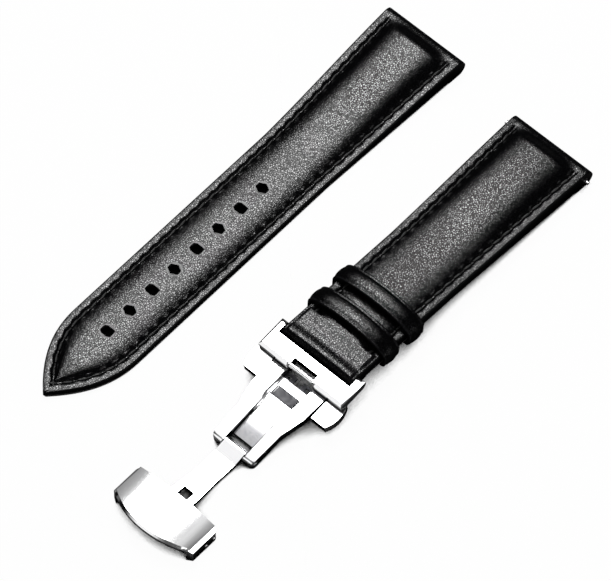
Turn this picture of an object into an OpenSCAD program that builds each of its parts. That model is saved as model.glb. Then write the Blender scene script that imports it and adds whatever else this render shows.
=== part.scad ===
/* [Straps] */
// Width of both straps where they meet the watch
lug_w = 22; // [20:0.5:24]
// Width of the long strap's tail
tail_w = 18.8; // [17:0.2:19.6]
// Width of the short strap where it meets the clasp
clasp_end_w = 20; // [18:0.2:20.4]
// Length of the long strap
long_len = 123; // [115:1:130]
// Length of the short strap
short_len = 77.6; // [74:0.2:84]
// Length over which each strap narrows from the watch end
taper_len = 43; // [36:1:46]
// Length of the pointed tail
point_len = 20; // [16:1:24]
// Distance between the two straps' centre lines
strap_spacing = 39.4; // [34:0.2:46]
// How far the long strap's watch end lies beyond the short one's
long_ahead = 2.9; // [0:0.1:6]
// Thickness of the leather at the watch ends' edges
edge_watch = 4.2; // [3.8:0.1:4.8]
// Thickness at the edges of the long strap's tail
edge_tail = 2; // [1.9:0.1:2.4]
// Thickness at the edges of the short strap's clasp end
edge_clasp = 2.9; // [2.8:0.05:3.2]
// Height of the padded crown above the edges near the watch
crown_watch = 1.5; // [1:0.1:2]
// Height of the padded crown above the edges far from the watch
crown_far = 0.7; // [0.4:0.1:1]
// Thickness of the top leather
skin_t = 0.9; // [0.7:0.05:1]
// Thickness of the lining leather
lining_t = 0.7; // [0.5:0.05:0.8]
// Distance of the stitching from the edge
stitch_inset = 2.3; // [2:0.1:2.6]
// Distance from one stitch to the next
stitch_pitch = 3.1; // [2.8:0.1:4]

/* [Holes] */
// Number of adjustment holes
hole_count = 8; // [5:1:8]
// Distance from one adjustment hole to the next
hole_pitch = 7; // [6:0.25:7.25]
// Diameter of an adjustment hole
hole_d = 2.3; // [1.8:0.1:2.8]
// Distance of the first hole from the watch end
first_hole = 54; // [50:1:58]

/* [Spring bars] */
// Outer diameter of the watch end's spring bar
watch_bar_d = 1.7; // [1.5:0.05:1.8]
// Outer diameter of the clasp's spring bar
lug_bar_d = 1.4; // [1.3:0.05:1.5]
// Diameter of the spring bars' tips
tip_d = 0.9; // [0.8:0.05:0.95]
// Length of a tip beyond its strap
tip_out = 0.9; // [0.6:0.05:1.2]
// Distance of the watch bar from the strap's end
watch_bar_in = 2.5; // [2.3:0.1:3]

/* [Keepers] */
// Width of each keeper along the strap
keeper_w = 4.9; // [4:0.1:5.5]
// Thickness of the keeper leather
keeper_t = 1; // [0.8:0.05:1.2]
// Distance of the sliding keeper's middle from the clasp end
slide_keeper_in = 19.9; // [18.6:0.1:23.6]
// Distance of the fixed keeper's middle from the clasp end
fixed_keeper_in = 12; // [10.6:0.1:12.4]
// Height left under the keepers for the tail
tail_room = 1.7; // [1.5:0.1:3]

/* [Clasp] */
// Slope of the short strap, rising to the clasp
strap_tilt = 4.1; // [3.8:0.1:4.4]
// Thickness of the lug plate
plate_t = 2.6; // [2.5:0.1:3]
// Depth of the lug plate in front of its spring bar
plate_reach = 6.6; // [6.4:0.1:7]
// Thickness of each lug
lug_t = 1.6; // [1.3:0.1:2]
// Width of the notch in the lug plate
notch_w = 6.6; // [5.4:0.2:7]
// Depth of the notch in the lug plate
notch_d = 2.4; // [2:0.1:3]
// Distance from the clasp's spring bar to the hinge pin
fork_reach = 27.2; // [26.5:0.1:28]
// Radius of the curve that both blades share
blade_r = 60; // [58:1:66]
// Distance from the hinge pin to the end of the link blade's curve
link_reach = 18.6; // [18.2:0.1:18.8]
// Thickness of the link blade
link_t = 1.1; // [1:0.05:1.15]
// Thickness of the tongue's floor
floor_t = 0.65; // [0.5:0.05:0.8]
// Diameter of the hinge pin between the blades
hinge_d = 1.2; // [1:0.05:1.3]
// Travel of each push button
press = 0.4; // [0.3:0.02:0.42]

/* [Bridge] */
// Overall width of the bridge cover
cover_w = 22.7; // [22.4:0.1:23.2]
// Thickness of the cover's cheeks
cheek_t = 1.25; // [1:0.05:1.3]
// Height of the cover's cheeks
cheek_h = 3.9; // [3.6:0.1:4.2]
// Rise of the cover's crown across its width
cover_crown = 1.5; // [1.2:0.1:1.8]
// Thickness of the cover's roof
roof_t = 0.85; // [0.7:0.05:0.9]
// Length of the cover at its cheeks
cover_side = 7.6; // [7.2:0.1:8.4]
// Bulge of the cover's front edge
cover_bulge = 3.5; // [3:0.1:4]
// Diameter of the two pins through the cheeks
cheek_pin_d = 1; // [0.9:0.05:1.05]
// Distance between the two pins
pin_gap = 2.4; // [2.3:0.1:2.6]

/* [Hidden] */
$fn = 48;
run_gap = 0.05;
eye_r = 1.4;
knuckle_r = 1.15;
ear_r = 0.95;
pin_h = ear_r;
arm_up = 0.8;
arm_down = 1.4;
arm_in = 3.65;
arm_in_low = 3.1;
arm_out = 7.35;
arm_out_low = 5.7;
link_half = 2.85;
link_end_half = 3.1;
slot_half = 1.4;
pin_offset = 1.5;
stem_r = 0.5;
stem_z = -2.2;
stem_x = -7.3;
latch_z = -2.8;
latch_t = 0.45;
button_top = -1.05;
button_low = -3.25;
button_front = -11.8;
button_back = -4.6;
button_bow_r = 7;
button_bow_y = 5.6;
hole_front = -8.2;

long_y = strap_spacing / 2;
short_y = -strap_spacing / 2;
slide_keeper_at = short_len - slide_keeper_in;
fixed_keeper_at = short_len - fixed_keeper_in;
rim = stitch_inset + 0.8;
fold = 5;
step = 0.3;
long_watch_bar_r = watch_bar_d / 2 + 0.1;
watch_bar_z = edge_watch / 2;
lug_bar_z = edge_clasp / 2;
lug_bar_tunnel_r = lug_bar_d / 2 + 0.08;
lug_bar_in = lug_bar_z + 0.15;
lug_half = clasp_end_w / 2 + 0.2;
plate_half = lug_half + lug_t;

function turn(p, a) = [p[0] * cos(a) + p[1] * sin(a), -p[0] * sin(a) + p[1] * cos(a)];
function smooth(t) = let(c = min(1, max(0, t))) c * c * (3 - 2 * c);

// Places along the chain, as [x, z] from the short strap's watch end
strap_drop = edge_watch / 2 * (1 - cos(strap_tilt) - sin(strap_tilt));
lug_bar = turn([-(short_len - lug_bar_in), lug_bar_z], strap_tilt) + [0, strap_drop];
hinge_in_clasp = [-fork_reach, -1.7];
hinge_len = norm(hinge_in_clasp);
clasp_drop = asin((lug_bar[1] - eye_r) / hinge_len) - atan2(-hinge_in_clasp[1], fork_reach);
hinge = lug_bar + turn(hinge_in_clasp, -clasp_drop);
fork_half = (fork_reach - plate_reach) / 2;
fork_mid = [-(fork_reach + plate_reach) / 2,
    hinge_in_clasp[1] - sqrt(blade_r * blade_r - fork_half * fork_half)];
link_bend = asin(link_reach / 2 / blade_r);
link_mid = [-link_reach / 2, sqrt(blade_r * blade_r - link_reach * link_reach / 4)];
pin_in_link = [-(link_reach + pin_offset * sin(link_bend)), -pin_offset * cos(link_bend)];
link_rise = asin((pin_h - hinge[1]) / norm(pin_in_link)) + atan2(-pin_in_link[1], -pin_in_link[0]);
cover_pin = hinge + turn(pin_in_link, link_rise);
closed_slope = asin(fork_half / blade_r) - link_bend;
fold_range = 180 - closed_slope - link_rise - clasp_drop;
cover_rear = 1.1;
cover_front = cover_side - cover_rear + cover_bulge;

// The frame's origin is the middle of the whole layout, on the ground
left_x = cover_pin[0] - cover_front;
right_x = long_ahead;
button_half = button_bow_y + button_bow_r;
low_y = short_y - button_half;
high_y = long_y + lug_w / 2;
shift = [-(left_x + right_x) / 2, -(low_y + high_y) / 2, 0];

echo(origin_shift = shift, strap_drop = strap_drop, lug_bar = lug_bar, hinge = hinge, cover_pin = cover_pin);
echo(clasp_drop = clasp_drop, link_rise = link_rise, fold_range = fold_range);

module at_long() { translate(shift + [long_ahead, long_y, 0]) children(); }
module at_short() { translate(shift + [0, short_y, strap_drop]) rotate([0, strap_tilt, 0]) children(); }
module at_clasp() {
    translate(shift + [lug_bar[0], short_y, lug_bar[1]]) rotate([0, -clasp_drop, 0]) children();
}
module at_link() {
    translate(shift + [hinge[0], short_y, hinge[1]]) rotate([0, link_rise, 0]) children();
}
module at_cover() { translate(shift + [cover_pin[0], short_y, cover_pin[1]]) children(); }
module rod(r, y0, y1) { translate([0, y0, 0]) rotate([-90, 0, 0]) cylinder(r = r, h = y1 - y0); }
module side(half) { rotate([90, 0, 0]) linear_extrude(2 * half, center = true) children(); }
module both_sides() { children(); mirror([0, 1, 0]) children(); }

// Leather outline and height, with x counted back from the watch end
function long_half(x) = let(
    t = min(1, x / taper_len),
    to_tip = min(1, max(0, (long_len - x) / point_len)),
    body = (lug_w + (tail_w - lug_w) * t) / 2)
    max(0.6, body * (1 - pow(1 - to_tip, 2.2)));
function short_half(x) = (lug_w + (clasp_end_w - lug_w) * min(1, x / taper_len)) / 2;
function edge_h(x, far) = far + (edge_watch - far) * (1 - smooth(x / taper_len));
function crown_h(x) = smooth((x - 1.8) / 3.6) *
    (crown_far + (crown_watch - crown_far) * (1 - smooth((x - 8) / taper_len)));
function rims() = [0, 0.4, 1.5, stitch_inset, rim];
function groove() = [-0.25, 0, 0.05, -0.22, 0];
function spans() = [0.85, 0.62, 0.36, 0.12];
function across(w) = let(s = min(1, w / 6), inner = w - rim * s)
    [for (d = rims()) w - d * s, for (k = spans()) inner * k];
function heights(x, w, far) = let(s = min(1, w / 6))
    [for (g = groove()) edge_h(x, far) + g,
     for (k = spans()) edge_h(x, far) + crown_h(x) * s * (1 - pow(k, 2.4))];
function top_row(x, w, far) = let(y = across(w), z = heights(x, w, far), n = len(y))
    [for (i = [0:n - 1]) [y[i], z[i]], for (i = [n - 1:-1:0]) [-y[i], z[i]]];
function squeeze(row, mid, f) = [for (p = row) [p[0], mid + (p[1] - mid) * f]];
function lower(row, by) = [for (p = row) [p[0], p[1] - by]];
function flatten(row, z) = [for (p = row) [p[0], z]];
function reverse(list) = [for (i = [len(list) - 1:-1:0]) list[i]];
function ring(x, upper, under) = [for (p = concat(upper, reverse(under))) [-x, p[0], p[1]]];

module loft(rings) {
    n = len(rings[0]);
    m = len(rings);
    points = [for (r = rings) each r];
    sides = [for (i = [0:m - 2], j = [0:n - 1]) let(a = i * n + j, b = i * n + (j + 1) % n)
        each j < n / 2 ? [[a, b, a + n], [b, b + n, a + n]] : [[a, b, b + n], [a, b + n, a + n]]];
    end = (m - 1) * n;
    caps = [for (j = [0:n / 2 - 2]) let(k = n - 1 - j)
        each [[j, k, j + 1], [j + 1, k, k - 1],
            [end + j, end + j + 1, end + k], [end + j + 1, end + k - 1, end + k]]];
    polyhedron(points, concat(sides, caps));
}

// Round the end that turns over a bar at height mid
function end_round(t, mid) = let(c = min(1, max(0, t / mid))) sqrt(1 - (1 - c) * (1 - c));
end_steps = [0.15, 0.4, 0.85, 1.4, 2.2, 3.5];

// The flap turned over the clasp's bar lies a little in from the edges, with a dip behind the bar
flap_in = 1;
flap_t = 0.35;
flap_from = fixed_keeper_at + keeper_w / 2 + 0.8;

body_steps = [fold + step, 8, 12, 17, 23, 30, 37, taper_len, 50];
tip_steps = [20, 17, 14, 11, 8, 5.5, 3.5, 1.8, 0.8, 0];
long_body = concat(body_steps, [75, long_len - point_len - 2],
    [for (t = tip_steps) long_len - t * point_len / 20]);
short_body = concat(body_steps, [flap_from - 10.8, flap_from - 5, flap_from - 0.1]);

function folded(x, from_end, w, far, mid) = let(f = end_round(from_end, mid), row = top_row(x, w, far))
    ring(x, squeeze(row, mid, f), squeeze(flatten(row, 0), mid, f));
function covered(x, w, far) = let(row = top_row(x, w, far)) ring(x, row, lower(row, skin_t));
function dip(t) = 1 - smooth(abs(t - 3.5) / 1.3);
function flap_row(x) = let(
    w = short_half(x),
    top = edge_h(x, edge_clasp) + flap_t - 0.4 * dip(short_len - x),
    inner = w - rim,
    y = concat([w, w - 0.4, w - flap_in + 0.1, w - flap_in - 0.1, inner], inner * spans()),
    z = concat([edge_clasp - 0.25, edge_clasp, edge_clasp, top, top + 0.05],
        [for (k = spans()) top + 0.05 + 0.15 * (1 - k * k)]),
    n = len(y))
    [for (i = [0:n - 1]) [y[i], z[i]], for (i = [n - 1:-1:0]) [-y[i], z[i]]];
function flap_end(x) = let(t = short_len - x, row = flap_row(x), f = end_round(t, lug_bar_z))
    ring(x, squeeze(row, lug_bar_z, f), squeeze(flatten(row, 0), lug_bar_z, f));
function filled(x, w, far) = let(row = top_row(x, w, far))
    ring(x, lower(row, skin_t), flatten(row, lining_t));
function outline(xs, half) = concat([for (x = xs) [-x, half[search(x, xs)[0]]]],
    [for (x = reverse(xs)) [-x, -half[search(x, xs)[0]]]]);

module hole_row() {
    for (i = [0:hole_count - 1])
        translate([-(first_hole + i * hole_pitch), 0, -1]) cylinder(d = hole_d, h = 8);
}

module long_top_leather() {
    color("#141414") at_long() difference() {
        loft(concat(
            [for (x = end_steps) folded(x, x, long_half(x), edge_tail, watch_bar_z)],
            [folded(fold, fold, long_half(fold), edge_tail, watch_bar_z)],
            [for (x = long_body) covered(x, long_half(x), edge_tail)]));
        translate([-watch_bar_in, 0, watch_bar_z]) rod(long_watch_bar_r, -lug_w, lug_w);
        hole_row();
    }
}

module long_padding() {
    color("#2b2520") at_long() difference() {
        loft([for (x = long_body) filled(x, long_half(x), edge_tail)]);
        hole_row();
    }
}

module long_lining() {
    color("#0f0f0f") at_long() difference() {
        linear_extrude(lining_t) polygon(outline(long_body, [for (x = long_body) long_half(x)]));
        hole_row();
    }
}

module short_top_leather() {
    color("#141414") at_short() difference() {
        loft(concat(
            [for (x = end_steps) folded(x, x, short_half(x), edge_clasp, watch_bar_z)],
            [folded(fold, fold, short_half(fold), edge_clasp, watch_bar_z)],
            [for (x = short_body) covered(x, short_half(x), edge_clasp)],
            [for (x = [flap_from + 0.1, short_len - fold - step])
                let(row = flap_row(x)) ring(x, row, lower(row, skin_t))],
            [for (t = concat([fold], reverse(end_steps))) flap_end(short_len - t)]));
        translate([-watch_bar_in, 0, watch_bar_z]) rod(long_watch_bar_r, -lug_w, lug_w);
        translate([-(short_len - lug_bar_in), 0, lug_bar_z]) rod(lug_bar_tunnel_r, -lug_w, lug_w);
    }
}

module short_padding() {
    color("#2b2520") at_short() loft(concat(
        [for (x = short_body) filled(x, short_half(x), edge_clasp)],
        [for (x = [flap_from + 0.1, short_len - fold - step])
            let(row = flap_row(x)) ring(x, lower(row, skin_t), flatten(row, lining_t))]));
}

lining_steps = concat(short_body, [short_len - fold - step]);
module short_lining() {
    color("#0f0f0f") at_short()
        linear_extrude(lining_t) polygon(outline(lining_steps, [for (x = lining_steps) short_half(x)]));
}

// Stitches lie in the groove and follow the edge
thread_r = 0.25;
stitch_len = stitch_pitch - 0.8;
stitch_start = 6;
tip_clear = 4;
function seam_long(x) = let(
    t = min(1, x / taper_len),
    reach = long_len - tip_clear - x,
    to_tip = min(1, max(0, reach / (point_len - tip_clear))),
    body = (lug_w + (tail_w - lug_w) * t) / 2 - stitch_inset)
    body * (1 - pow(1 - to_tip, 2.2));
function seam_short(x) = short_half(x) - stitch_inset;
function slope_long(x) = (seam_long(x + 0.2) - seam_long(x)) / 0.2;
function seam_rise(x) = let(
    w = long_half(x),
    s = min(1, w / 6),
    k = min(1, seam_long(x) / max(0.1, w - rim * s)))
    crown_h(x) * s * (1 - pow(k, 2.4));
function seam_h(x) = edge_h(x, edge_tail) + max(seam_rise(x), seam_rise(x + stitch_len));
function long_places(x) = x > long_len - tip_clear - 1.6 ? [] :
    concat([x], long_places(x + stitch_pitch / sqrt(1 + pow(slope_long(x), 2))));
module stitch(x, y, z, turn_by) {
    translate([-x, y, z + thread_r + 0.06]) rotate([0, 0, turn_by]) rotate([0, -90, 0])
        cylinder(r = thread_r, h = stitch_len, $fn = 16);
}

module long_stitching() {
    color("#050505") at_long() both_sides()
        for (x = long_places(stitch_start))
            stitch(x, seam_long(x), seam_h(x), -atan(slope_long(x)));
}

module short_stitching() {
    color("#050505") at_short() both_sides()
        for (x = [stitch_start:stitch_pitch:slide_keeper_at - keeper_w - 2])
            stitch(x, seam_short(x), edge_h(x, edge_clasp), 0);
}

// A keeper is a leather band bowed over the strap, thinner at its two edges
keeper_in = clasp_end_w / 2 + 0.45;
shoulder_z = 2.2;
function keeper_top() = edge_clasp + crown_far + tail_room;
function bow(a, t) = [(keeper_in + t) * cos(a), shoulder_z + (keeper_top() - shoulder_z + t) * sin(a)];
function under_loop(t, gap) =
    [[4, -gap - t], [keeper_in - 0.5, -gap - t],
        [keeper_in + t * 0.7, -gap - t * 0.7], [keeper_in + t, 0.4 - gap]];
function loop(t, gap) = concat(
    [for (a = [0:9:180]) bow(a, t)],
    [for (p = reverse(under_loop(t, gap))) [-p[0], p[1]]],
    under_loop(t, gap));
module keeper(at, gap) {
    half = keeper_w / 2;
    edge = keeper_t * 0.6;
    full = keeper_t * 0.93;
    walls = [[-half, 0], [-half, edge], [-half * 0.55, full], [0, keeper_t],
        [half * 0.55, full], [half, edge], [half, 0]];
    loops = [for (w = walls) loop(w[1], gap)];
    m = len(walls);
    n = len(loops[0]);
    points = [for (i = [0:n - 1], j = [0:m - 1]) [walls[j][0], loops[j][i][0], loops[j][i][1]]];
    faces = [for (i = [0:n - 1], j = [0:m - 1]) let(
        row = i * m, next = (i + 1) % n * m, k = (j + 1) % m)
        each [[row + j, row + k, next + j], [row + k, next + k, next + j]]];
    translate([-at, 0, 0]) polyhedron(points, faces);
}

module fixed_keeper() { color("#181818") at_short() keeper(fixed_keeper_at, 0.02); }
module sliding_keeper() { color("#181818") at_short() keeper(slide_keeper_at, 0.3); }

// Spring bars: a tube, two flanged tips that push in, and the spring between them
tip_travel = 0.8;
shank_r = tip_d / 2 + 0.05;
spring_gap = 0.9;
module bar_tube(d, half) {
    difference() {
        rod(d / 2, -half, half);
        rod(shank_r + run_gap, -half - 1, half + 1);
    }
}
collar_t = 0.6;
module bar_tip(flange_r, tube_half, shoulder, out) {
    rod(shank_r, tube_half - 1.5, shoulder - 0.1);
    rod(flange_r, shoulder - collar_t, shoulder);
    rod(tip_d / 2, shoulder - 0.1, out);
}
module bar_spring(tube_half) {
    half = tube_half - 1.5 - spring_gap;
    difference() {
        rod(shank_r - 0.02, -half, half);
        rod(shank_r - 0.2, -half - 1, half + 1);
    }
}
watch_tube_half = lug_w / 2 - collar_t - 0.1 - tip_travel;
watch_tip_end = lug_w / 2 + tip_out;
lug_tube_half = clasp_end_w / 2 - collar_t - 0.1 - tip_travel;
lug_shoulder = lug_half - 0.05;
lug_tip_end = lug_half + 0.7;
module at_watch_bar() { at_short() translate([-watch_bar_in, 0, watch_bar_z]) children(); }

module watch_bar_tube() { color("#c8c8c8") at_watch_bar() bar_tube(watch_bar_d, watch_tube_half); }
module watch_bar_spring() { color("#b0b0b0") at_watch_bar() bar_spring(watch_tube_half); }
module watch_bar_tip_left() {
    color("#d0d0d0") at_watch_bar() bar_tip(0.75, watch_tube_half, lug_w / 2, watch_tip_end);
}
module watch_bar_tip_right() {
    color("#d0d0d0") at_watch_bar() mirror([0, 1, 0])
        bar_tip(0.75, watch_tube_half, lug_w / 2, watch_tip_end);
}
module lug_bar_tube() { color("#c8c8c8") at_clasp() bar_tube(lug_bar_d, lug_tube_half); }
module lug_bar_spring() { color("#b0b0b0") at_clasp() bar_spring(lug_tube_half); }
module lug_bar_tip_left() {
    color("#d0d0d0") at_clasp() bar_tip(0.65, lug_tube_half, lug_shoulder, lug_tip_end);
}
module lug_bar_tip_right() {
    color("#d0d0d0") at_clasp() mirror([0, 1, 0]) bar_tip(0.65, lug_tube_half, lug_shoulder, lug_tip_end);
}

// Lug plate: a cross bar with two lugs that hold the spring bar
plate_back = lug_bar_in + 0.35;
lug_r = plate_t / 2;
bar_r = 0.6;
notch_round = 0.75;
module notch() {
    translate([-plate_reach - 1, -notch_w / 2, -plate_t]) cube([notch_d + 1, notch_w, 2 * plate_t]);
    both_sides() difference() {
        translate([-plate_reach - 1, notch_w / 2 - 0.1, -plate_t])
            cube([notch_round + 1, notch_round + 0.1, 2 * plate_t]);
        translate([-plate_reach + notch_round, notch_w / 2 + notch_round, -plate_t - 1])
            cylinder(r = notch_round, h = 2 * plate_t + 2);
    }
}
module lug_plate() {
    color("#e2e2e2") at_clasp() difference() {
        union() {
            translate([-plate_reach, -plate_half, -plate_t / 2])
                cube([plate_reach - plate_back, 2 * plate_half, plate_t]);
            both_sides() {
                translate([-plate_back - 0.01, lug_half, -plate_t / 2])
                    cube([plate_back + 0.01, lug_t, plate_t]);
                rod(lug_r, lug_half, plate_half);
            }
        }
        notch();
        both_sides() {
            rod(tip_d / 2 + run_gap, lug_half - 1, lug_tip_end + 0.1);
            translate([0, plate_half, plate_t / 2]) rotate([45, 0, 0])
                cube([40, 0.8, 0.8], center = true);
        }
    }
}

module catch_bar() {
    color("#f0f0f0") at_clasp() translate([-plate_reach + 0.7, 0, plate_t / 2 - bar_r])
        rod(bar_r, -notch_w / 2, notch_w / 2);
}

// The forked blade: two arms over a thinner floor, bent to the shared curve
module band(mid, up, down) {
    translate(mid) difference() {
        circle(r = blade_r + up, $fn = 360);
        circle(r = blade_r - down, $fn = 360);
    }
}
module slab(low, high) { translate([0, 0, low]) linear_extrude(high - low) children(); }
bend_x = -13.5;
narrow_x = -19.3;
tip_round = 1.2;
arm_end = -fork_reach - eye_r;
function arm_top(x) = fork_mid[1] + sqrt(pow(blade_r + arm_up, 2) - pow(x - fork_mid[0], 2));
module arm_plan() {
    polygon([[-plate_reach, arm_in], [-plate_reach, arm_out], [bend_x, arm_out], [narrow_x, 6.05],
        [-fork_reach, arm_out_low], [arm_end + tip_round, arm_out_low], [arm_end + tip_round, arm_in_low],
        [-15.5, arm_in_low], [-13, arm_in]]);
    translate([arm_end, arm_in_low]) square([tip_round + 0.1, arm_out_low - tip_round - arm_in_low]);
    translate([arm_end + tip_round, arm_out_low - tip_round]) circle(r = tip_round);
}
// Side view of an arm: the shared curve, with its top faired over 7 mm into the eye
module arm_profile() {
    intersection() {
        side(9) band(fork_mid, arm_up, arm_down);
        translate([-fork_reach, -9, -8]) cube([fork_reach - plate_reach, 18, 11]);
    }
    translate([hinge_in_clasp[0], 0, hinge_in_clasp[1]]) rod(eye_r, -9, 9);
    side(9) polygon([hinge_in_clasp, hinge_in_clasp + [0, eye_r], [7 - fork_reach, arm_top(7 - fork_reach)],
        [7 - fork_reach, arm_top(7 - fork_reach) - 1]]);
}
floor_end = -24.6;
slit_x = -18;
slit = 0.2;
module floor_plan() {
    translate([slit_x, -4]) square([hole_front - slit_x, 8]);
    translate([floor_end, slit - arm_in_low])
        square([slit_x - floor_end + 0.01, 2 * (arm_in_low - slit)]);
}
module fork_blade() {
    color("#e6e6e6") at_clasp() difference() {
        union() {
            intersection() {
                arm_profile();
                slab(-8, 3) { arm_plan(); mirror([0, 1]) arm_plan(); }
            }
            intersection() {
                side(9) band(fork_mid, floor_t - arm_down, arm_down);
                slab(-8, 3) floor_plan();
            }
            both_sides() translate([-plate_reach - 0.1, arm_in, -plate_t / 2 - 1.7])
                cube([2.1, arm_out - arm_in, 1.7]);
        }
        translate([hinge_in_clasp[0], 0, hinge_in_clasp[1]]) rod(hinge_d / 2, -9, 9);
        translate([stem_x, 0, stem_z]) rod(stem_r + run_gap, -9, 9);
        intersection() {
            side(9) band(fork_mid, floor_t - arm_down + 0.1, arm_down - floor_t + 0.2);
            slab(-8, 3) translate([-12.5, -2.9]) square([2.3, 5.8]);
        }
    }
}

module hinge_pin() {
    color("#f0f0f0") at_clasp() translate([hinge_in_clasp[0], 0, hinge_in_clasp[1]])
        rod(hinge_d / 2, -arm_out_low - 0.1, arm_out_low + 0.1);
}

// Push button: a quarter-round lobe on a stem that runs through the arm
pocket_r = 0.8;
pocket_d = 1.5;
button_in = arm_out + press;
module button_plan() {
    intersection() {
        translate([(button_front + button_back) / 2, button_bow_y]) circle(r = button_bow_r, $fn = 120);
        translate([button_front, button_in]) square([button_back - button_front, 8]);
    }
}
module push_button() {
    difference() {
        slab(button_low, button_top) button_plan();
        translate([-plate_reach - 0.15, 0, -plate_t / 2 - 0.15]) cube([8, 20, 4]);
        translate([stem_x, 0, stem_z]) rod(pocket_r, button_in - 1, button_in + pocket_d);
    }
    translate([stem_x, 0, stem_z]) rod(stem_r, arm_in, button_in + pocket_d + 0.1);
}
module pusher_left() { color("#dcdcdc") at_clasp() push_button(); }
module pusher_right() { color("#dcdcdc") at_clasp() mirror([0, 1, 0]) push_button(); }

module button_spring() {
    translate([stem_x, 0, stem_z]) difference() {
        rod(pocket_r - 0.05, arm_out + 0.02, arm_out + pocket_d - 0.03);
        rod(stem_r + run_gap, arm_out - 1, arm_out + pocket_d + 1);
    }
}
module pusher_spring_left() { color("#a8a8a8") at_clasp() button_spring(); }
module pusher_spring_right() { color("#a8a8a8") at_clasp() mirror([0, 1, 0]) button_spring(); }

// Latch plate: a small frame on the stem's end whose inner rail hooks the link blade's nose
nose_front = -7.75;
nose_back = -7.1;
nose_in = 1.6;
nose_out = 2.6;
rail_y = 1.95;
module latch_plate() {
    difference() {
        translate([nose_front - 0.35, 1, latch_z]) cube([nose_back - nose_front + 1, arm_in - 1, latch_t]);
        translate([nose_front - 0.1, rail_y, latch_z - 1])
            cube([nose_back - nose_front + 0.2, nose_out + press + 0.1 - rail_y, 3]);
    }
}
module latch_left() { color("#b8b8b8") at_clasp() latch_plate(); }
module latch_right() { color("#b8b8b8") at_clasp() mirror([0, 1, 0]) latch_plate(); }

// The link blade folds into the fork on the same curve
module from_clasp() {
    rotate([0, -(180 - closed_slope), 0]) translate([fork_reach, 0, -hinge_in_clasp[1]]) children();
}
link_tip = link_reach + 1.6;
slot_from = link_reach - 4.4;
module link_plan() {
    half = [[0, link_half], [-9, link_half - 0.15], [-link_reach + 3, link_end_half],
        [-link_tip, link_end_half]];
    polygon(concat(half, [for (p = reverse(half)) [p[0], -p[1]]]));
}
module link_blade() {
    color("#e6e6e6") at_link() difference() {
        union() {
            intersection() {
                side(5) band(link_mid, link_t / 2, link_t / 2);
                slab(-6, 6) link_plan();
            }
            rod(knuckle_r, -link_half, link_half);
            side(link_half) polygon([[0, 0], [-0.45, knuckle_r * 0.92], [-3.2, 0.15], [-3.2, -0.3]]);
            translate([pin_in_link[0], 0, pin_in_link[1]]) rod(ear_r, -link_end_half, link_end_half);
            side(link_end_half) polygon([pin_in_link + [-ear_r, 0], pin_in_link + [ear_r, 0],
                [-link_reach + ear_r, 0], [-link_reach - ear_r, 0]]);
            both_sides() from_clasp() translate([nose_front, nose_in, latch_z - 0.25])
                cube([nose_back - nose_front, nose_out - nose_in, 1.5]);
        }
        rod(hinge_d / 2 + run_gap, -9, 9);
        translate([pin_in_link[0], 0, pin_in_link[1]]) rod(cheek_pin_d / 2 + run_gap, -9, 9);
        translate([-link_tip - 3, -slot_half, -6]) cube([link_tip + 3 - slot_from, 2 * slot_half, 12]);
        both_sides() from_clasp() translate([nose_front - 1, nose_in - 1, latch_z - 0.1])
            cube([3, rail_y + 0.1 - nose_in + 1, latch_t + 0.2]);
    }
}

// The bridge cover: a crowned roof on two cheeks, with a bowed front edge
crown_r = (pow(cover_w / 2, 2) + pow(cover_crown, 2)) / (2 * cover_crown);
bow_r = (pow(cover_w / 2, 2) + pow(cover_bulge, 2)) / (2 * cover_bulge);
top_z = cheek_h + cover_crown - pin_h;
module crown(r, half, low) {
    intersection() {
        translate([-20, 0, top_z - crown_r]) rotate([0, 90, 0]) cylinder(r = r, h = 40, $fn = 360);
        translate([-20, -half, low]) cube([40, 2 * half, 20]);
    }
}
lip_t = 0.7;
lip_h = 1.35;
rear_round = 1;
cheek_bevel = 0.85;
module bowed(r) { translate([-cover_front + bow_r, 0, -5]) cylinder(r = r, h = 20, $fn = 240); }
module rounded_rear() {
    translate([-cover_front, -cover_w / 2, -5]) cube([cover_front + cover_rear - rear_round, cover_w, 20]);
    translate([-cover_front, rear_round - cover_w / 2, -5])
        cube([cover_front + cover_rear, cover_w - 2 * rear_round, 20]);
    both_sides() translate([cover_rear - rear_round, cover_w / 2 - rear_round, -5])
        cylinder(r = rear_round, h = 20);
}
module bridge_cover() {
    color("#dedede") at_cover() difference() {
        intersection() {
            crown(crown_r, cover_w / 2, -pin_h);
            bowed(bow_r);
            rounded_rear();
        }
        intersection() {
            crown(crown_r - roof_t, cover_w / 2 - cheek_t, -pin_h - 1);
            bowed(bow_r - lip_t);
        }
        crown(crown_r - lip_h, cover_w / 2 - cheek_t, -pin_h - 1);
        both_sides() translate([0, cover_w / 2, cheek_h - pin_h]) rotate([45, 0, 0])
            cube([60, cheek_bevel * sqrt(2), cheek_bevel * sqrt(2)], center = true);
        rod(cheek_pin_d / 2, -20, 20);
        translate([-pin_gap, 0, 0]) rod(cheek_pin_d / 2, -20, 20);
    }
}
module bridge_pin() { color("#cfcfcf") at_cover() rod(cheek_pin_d / 2, -cover_w / 2, cover_w / 2); }
module strap_bar() {
    color("#cfcfcf") at_cover() translate([-pin_gap, 0, 0]) rod(cheek_pin_d / 2, -cover_w / 2, cover_w / 2);
}

// The tang turns on the rear pin and rests on the front one
tang_len = 5.2;
tang_half = 0.7;
module tang() {
    rest_z = cheek_pin_d / 2 + 0.05;
    color("#cfcfcf") at_cover() difference() {
        union() {
            rod(ear_r, -slot_half + 0.15, slot_half - 0.15);
            side(tang_half) polygon([[0, rest_z - 0.2], [-pin_gap + 0.6, rest_z], [-tang_len, rest_z + 0.1],
                [-tang_len, rest_z + 0.6], [-pin_gap, rest_z + 0.75], [0, ear_r]]);
        }
        rod(cheek_pin_d / 2 + run_gap, -9, 9);
    }
}

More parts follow.
